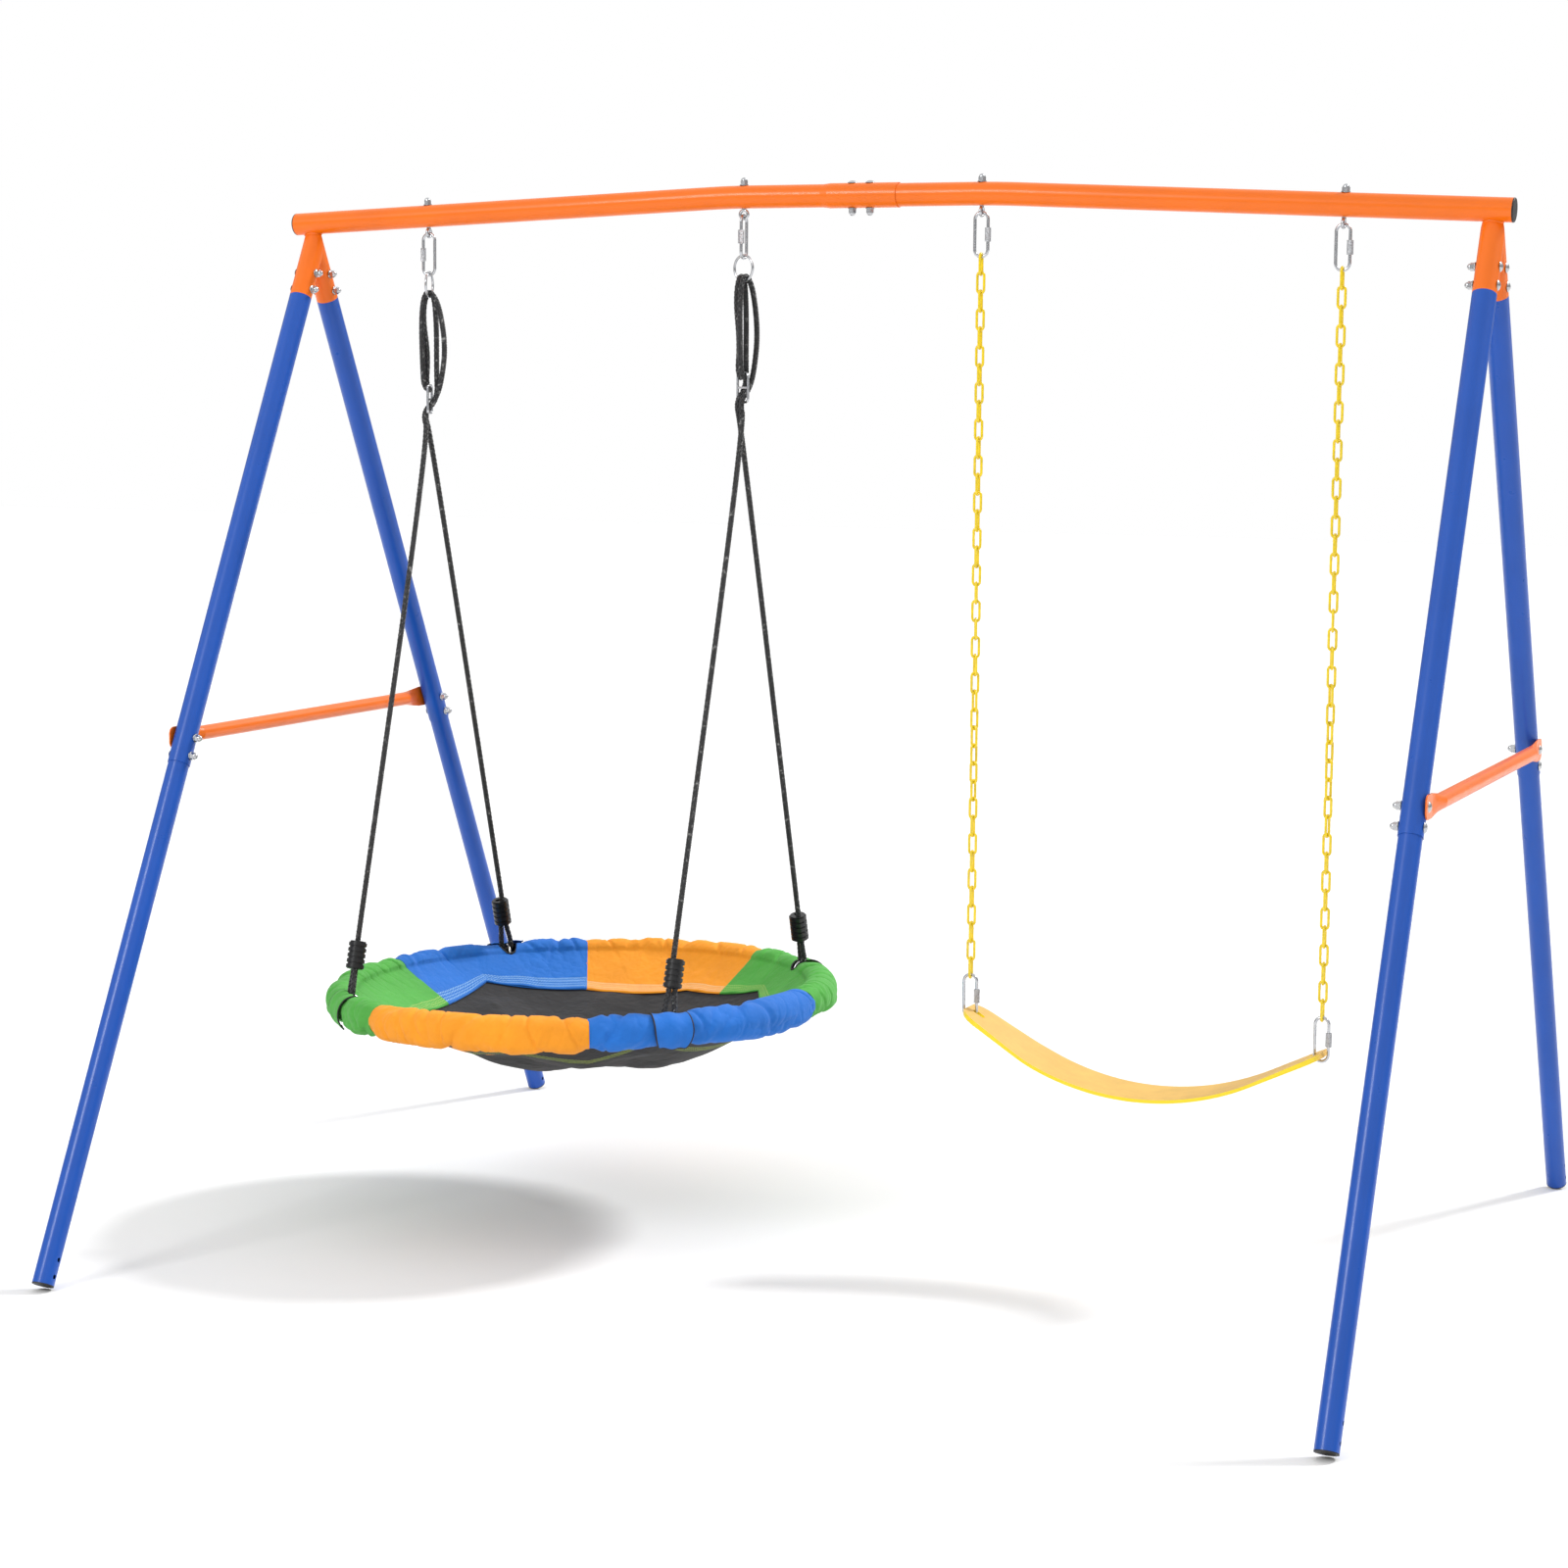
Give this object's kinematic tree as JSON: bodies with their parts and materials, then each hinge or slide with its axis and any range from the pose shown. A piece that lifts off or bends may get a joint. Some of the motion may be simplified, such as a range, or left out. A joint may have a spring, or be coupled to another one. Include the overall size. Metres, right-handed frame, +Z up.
{
  "type": "swing set",
  "caption": "Garden swing set: tube A-frames under a bent top bar, with a round fabric-covered saucer swing on ropes and a bent belt seat on coated chains.",
  "frame": {"origin": "on the ground under the middle of the top bar", "axes": "+Z up; +X along the top bar towards the belt swing; -Y is the front"},
  "size_m": [2.4798, 2.031, 2.0592],
  "materials": {
    "orange_paint": "gloss",
    "blue_paint": "gloss",
    "black_plastic": "moulded",
    "zinc": "bright zinc plate",
    "clamp_plastic": "moulded",
    "black_rope": "twisted rope",
    "rim_steel": "bare tube",
    "foam": "closed-cell foam",
    "cover_fabric": "woven, in green, blue and orange panels",
    "mat_fabric": "woven mesh",
    "yellow_coating": "soft coating over steel",
    "yellow_plastic": "flexible moulding"
  },
  "bodies": {
    "frame": {"top_bar_left": "orange_paint", "top_bar_right": "orange_paint", "bar_end_caps": "black_plastic", "leg_socket_front_left": "orange_paint", "leg_socket_rear_left": "orange_paint", "leg_socket_front_right": "orange_paint", "leg_socket_rear_right": "orange_paint", "upper_leg_front_left": "blue_paint", "upper_leg_rear_left": "blue_paint", "upper_leg_front_right": "blue_paint", "upper_leg_rear_right": "blue_paint", "lower_leg_front_left": "blue_paint", "lower_leg_rear_left": "blue_paint", "lower_leg_front_right": "blue_paint", "lower_leg_rear_right": "blue_paint", "foot_plugs": "black_plastic", "crossbar_left": "orange_paint", "crossbar_right": "orange_paint", "leg_bolts": "zinc", "crossbar_bolts": "zinc", "leg_nuts": "zinc", "bar_joint_bolts": "zinc", "bar_joint_nuts": "zinc", "eye_bolt_saucer_left": "zinc", "eye_bolt_saucer_right": "zinc", "eye_bolt_belt_left": "zinc", "eye_bolt_belt_right": "zinc", "eye_bolt_nuts": "zinc"},
    "saucer_swing": {"saucer_left_link": "zinc", "saucer_right_link": "zinc", "rope_ring_left": "zinc", "rope_ring_right": "zinc", "rope_adjuster_left": "zinc", "rope_adjuster_right": "zinc", "rope_front_left": "black_rope", "rope_rear_left": "black_rope", "rope_front_right": "black_rope", "rope_rear_right": "black_rope", "rope_clamp_front_left": "clamp_plastic", "rope_clamp_rear_left": "clamp_plastic", "rope_clamp_front_right": "clamp_plastic", "rope_clamp_rear_right": "clamp_plastic", "rim_rings": "zinc", "rim_tube": "rim_steel", "rim_foam": "foam", "saucer_cover": "cover_fabric", "saucer_mat": "mat_fabric"},
    "belt_hangers": {"belt_upper_left_link": "zinc", "belt_upper_right_link": "zinc", "chain_left": "yellow_coating", "chain_right": "yellow_coating", "belt_lower_left_link": "zinc", "belt_lower_right_link": "zinc"},
    "belt_seat_body": {"belt_seat": "yellow_plastic"},
    "saucer_left_sleeve_body": {"saucer_left_sleeve": "zinc"},
    "saucer_right_sleeve_body": {"saucer_right_sleeve": "zinc"},
    "belt_upper_left_sleeve_body": {"belt_upper_left_sleeve": "zinc"},
    "belt_upper_right_sleeve_body": {"belt_upper_right_sleeve": "zinc"},
    "belt_lower_left_sleeve_body": {"belt_lower_left_sleeve": "zinc"},
    "belt_lower_right_sleeve_body": {"belt_lower_right_sleeve": "zinc"}
  },
  "joints": [
    {"name": "saucer_swing_hinge", "type": "hinge", "parent": "frame", "child": "saucer_swing", "pos_m": [-0.5878, 0, 1.97022], "axis": [0.9995, 0, 0.0304], "range_deg": [-45, 45]},
    {"name": "belt_swing_hinge", "type": "hinge", "parent": "frame", "child": "belt_hangers", "pos_m": [0.5878, 0, 1.97422], "axis": [0.9991, 0, -0.042], "range_deg": [-45, 45]},
    {"name": "belt_seat_pitch", "type": "hinge", "parent": "belt_hangers", "child": "belt_seat_body", "pos_m": [0.58777, 0, 0.45492], "axis": [0.9991, 0, -0.042], "range_deg": [-18, 18]},
    {"name": "saucer_left_sleeve_slide", "type": "slide", "parent": "saucer_swing", "child": "saucer_left_sleeve_body", "axis": [0, 0, 1], "range_m": [0, 0.013]},
    {"name": "saucer_right_sleeve_slide", "type": "slide", "parent": "saucer_swing", "child": "saucer_right_sleeve_body", "axis": [0, 0, 1], "range_m": [0, 0.013]},
    {"name": "belt_upper_left_sleeve_slide", "type": "slide", "parent": "belt_hangers", "child": "belt_upper_left_sleeve_body", "axis": [0, 0, 1], "range_m": [0, 0.013]},
    {"name": "belt_upper_right_sleeve_slide", "type": "slide", "parent": "belt_hangers", "child": "belt_upper_right_sleeve_body", "axis": [0, 0, 1], "range_m": [0, 0.013]},
    {"name": "belt_lower_left_sleeve_slide", "type": "slide", "parent": "belt_hangers", "child": "belt_lower_left_sleeve_body", "axis": [0, 0, 1], "range_m": [0, 0.013]},
    {"name": "belt_lower_right_sleeve_slide", "type": "slide", "parent": "belt_hangers", "child": "belt_lower_right_sleeve_body", "axis": [0, 0, 1], "range_m": [0, 0.013]}
  ]
}
